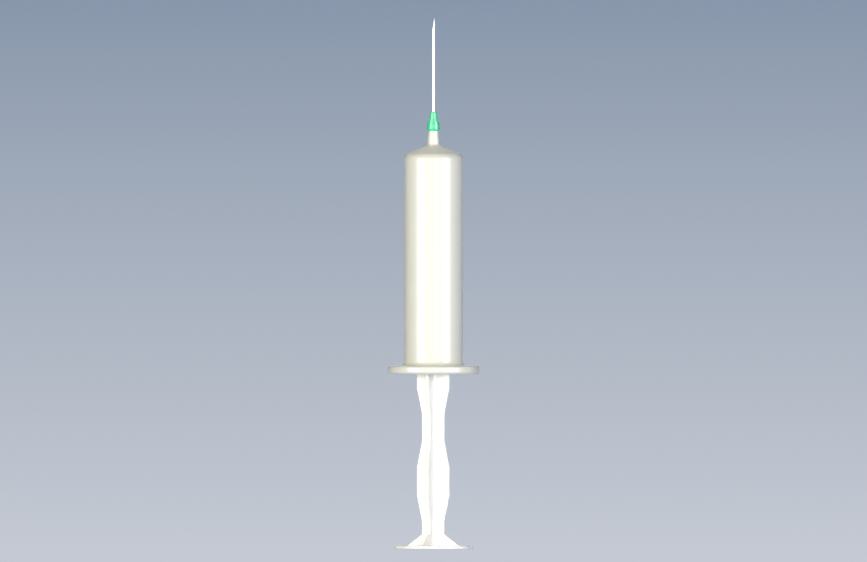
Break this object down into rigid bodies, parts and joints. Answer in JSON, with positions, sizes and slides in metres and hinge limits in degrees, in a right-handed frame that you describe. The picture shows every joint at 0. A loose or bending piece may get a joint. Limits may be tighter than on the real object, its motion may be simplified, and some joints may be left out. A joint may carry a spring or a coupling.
{
  "type": "syringe",
  "caption": "Syringe standing on its thumb rest, drawn up: round finger flange, wavy cross-ribbed plunger rod, rubber stopper and a push-on steel needle in a green hub.",
  "frame": {"origin": "centre of the thumb rest's lower face", "axes": "+Z along the syringe's axis towards the needle's point, -X the way the needle's bevel faces, -Y towards the viewer"},
  "size_m": [0.0366, 0.0366, 0.2144],
  "materials": {
    "barrel_plastic": "white polypropylene, moulded smooth",
    "rod_plastic": "white polyethylene, moulded satin",
    "stopper_rubber": "moulded rubber with a film of silicone oil",
    "hub_plastic": "green polypropylene, moulded smooth",
    "needle_steel": "drawn and electropolished stainless steel",
    "bond_adhesive": "cured clear adhesive"
  },
  "bodies": {
    "barrel": {"barrel": "barrel_plastic"},
    "stopper": {"stopper": "stopper_rubber"},
    "rod": {"plunger_rod": "rod_plastic"},
    "needle": {"needle_hub": "hub_plastic", "needle_cannula": "needle_steel", "hub_bond": "bond_adhesive"}
  },
  "joints": [
    {"name": "plunger_slide", "type": "slide", "parent": "barrel", "child": "stopper", "axis": [0, 0, 1], "range_m": [-0.014, 0.06]},
    {"name": "rod_spin", "type": "hinge", "parent": "stopper", "child": "rod", "pos_m": [0, 0, 0], "axis": [0, 0, 1], "continuous": true},
    {"name": "needle_pull", "type": "slide", "parent": "barrel", "child": "needle", "axis": [0, 0, 1], "range_m": [0, 0.012]}
  ]
}
